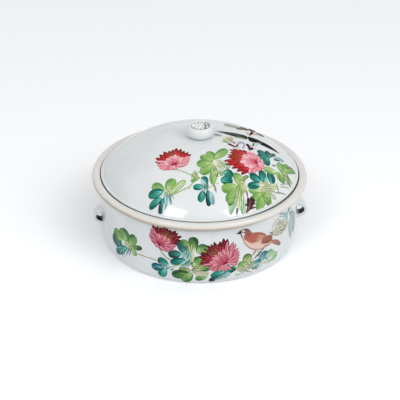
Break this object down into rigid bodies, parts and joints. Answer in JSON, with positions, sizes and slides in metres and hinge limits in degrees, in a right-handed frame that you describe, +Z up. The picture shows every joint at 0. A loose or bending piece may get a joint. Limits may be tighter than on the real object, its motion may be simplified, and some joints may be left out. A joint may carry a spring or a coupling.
{
  "type": "lidded porcelain box",
  "caption": "Round straight-sided porcelain box with a galleried rim, a strap lug on each side, and a domed lid that lifts off by a bun-shaped knob.",
  "frame": {"origin": "centre of the foot ring, on the surface that the box stands on", "axes": "+Z up through the knob, -Y to the front, +X towards the right-hand lug"},
  "size_m": [0.221, 0.22, 0.1246],
  "materials": {
    "porcelain": "clear glossy glaze over white porcelain",
    "warm_porcelain": "thin glaze over moulded porcelain",
    "enamel": "overglaze enamel painting, slightly raised and glossy"
  },
  "bodies": {
    "box": {"box_body": "porcelain", "lug_left": "porcelain", "lug_right": "porcelain"},
    "lid": {"lid_dome": "porcelain", "lid_knob": "porcelain", "knob_floret": "warm_porcelain"}
  },
  "joints": [
    {"name": "lid_lift", "type": "slide", "parent": "box", "child": "lid", "axis": [0, 0, 1], "range_m": [0, 0.09]}
  ]
}
